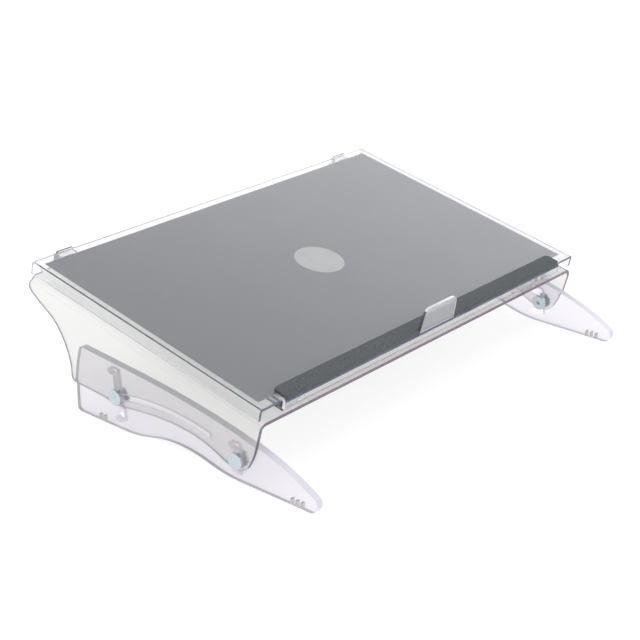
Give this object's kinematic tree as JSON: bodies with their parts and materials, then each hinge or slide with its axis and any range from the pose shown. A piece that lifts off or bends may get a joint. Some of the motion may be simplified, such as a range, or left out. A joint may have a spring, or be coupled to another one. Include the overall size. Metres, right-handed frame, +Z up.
{
  "type": "writing slope stand",
  "caption": "Clear desk writing slope: grey-topped sliding tray on a bent bed, bolted between two slotted feet that set its height and tilt.",
  "frame": {"origin": "middle of the footprint's bounding box, on the desk", "axes": "+X to the user's right along the tray, +Y to the rear, +Z up"},
  "size_m": [0.526, 0.3762, 0.1475],
  "materials": {
    "tray_acrylic": "clear cast acrylic, polished edges",
    "bed_acrylic": "clear cast acrylic, polished edges",
    "foot_acrylic": "clear cast acrylic, polished edges",
    "panel_grey": "fine satin grey laminate",
    "strip_charcoal": "matt charcoal foam rubber",
    "badge_silver": "brushed, plain",
    "bolt_steel": "bright zinc plate",
    "grip_rubber": "matt soft rubber"
  },
  "bodies": {
    "feet": {"foot_right": "foot_acrylic", "foot_left": "foot_acrylic", "front_grips_right": "grip_rubber", "front_grips_left": "grip_rubber", "rear_grips_right": "grip_rubber", "rear_grips_left": "grip_rubber"},
    "front_bolts": {"front_sleeve_nut_right": "bolt_steel", "front_sleeve_nut_left": "bolt_steel"},
    "bed": {"bed_panel": "bed_acrylic", "guide_rail_right": "bed_acrylic", "guide_rail_left": "bed_acrylic", "travel_stop_right": "bed_acrylic", "travel_stop_left": "bed_acrylic"},
    "rear_bolts": {"rear_sleeve_nut_right": "bolt_steel", "rear_sleeve_nut_left": "bolt_steel"},
    "tray": {"tray_sheet": "tray_acrylic", "writing_panel": "panel_grey", "ledge_strip": "strip_charcoal", "page_stop": "tray_acrylic", "centre_badge": "badge_silver", "tray_runner_right": "tray_acrylic", "tray_runner_left": "tray_acrylic"},
    "front_screw_right": {"front_clamp_screw_right": "bolt_steel"},
    "front_screw_left": {"front_clamp_screw_left": "bolt_steel"},
    "rear_screw_right": {"rear_clamp_screw_right": "bolt_steel"},
    "rear_screw_left": {"rear_clamp_screw_left": "bolt_steel"}
  },
  "joints": [
    {"name": "height_slide", "type": "slide", "parent": "feet", "child": "front_bolts", "axis": [0, 0.1132, 0.9936], "range_m": [-0.01258, 0.01258]},
    {"name": "tilt_hinge", "type": "hinge", "parent": "front_bolts", "child": "bed", "pos_m": [0, -0.09462, 0.0235], "axis": [1, 0, 0], "range_deg": [-4.2, 4.2]},
    {"name": "rear_bolt_slide", "type": "slide", "parent": "bed", "child": "rear_bolts", "axis": [0, 0.9748, -0.2232], "range_m": [-0.0026, 0.0026]},
    {"name": "tray_slide", "type": "slide", "parent": "bed", "child": "tray", "axis": [0, -0.9799, -0.1994], "range_m": [0, 0.13]},
    {"name": "front_screw_right_turn", "type": "hinge", "parent": "front_bolts", "child": "front_screw_right", "pos_m": [0.2462, -0.09462, 0.0235], "axis": [1, 0, 0], "continuous": true},
    {"name": "front_screw_left_turn", "type": "hinge", "parent": "front_bolts", "child": "front_screw_left", "pos_m": [-0.2462, -0.09462, 0.0235], "axis": [1, 0, 0], "continuous": true},
    {"name": "rear_screw_right_turn", "type": "hinge", "parent": "rear_bolts", "child": "rear_screw_right", "pos_m": [0.2462, 0.06438, 0.036], "axis": [1, 0, 0], "continuous": true},
    {"name": "rear_screw_left_turn", "type": "hinge", "parent": "rear_bolts", "child": "rear_screw_left", "pos_m": [-0.2462, 0.06438, 0.036], "axis": [1, 0, 0], "continuous": true}
  ],
  "couplings": [
    {"joint": "rear_bolt_slide", "follows": "tilt_hinge", "m_per_rad": 0.03061}
  ]
}
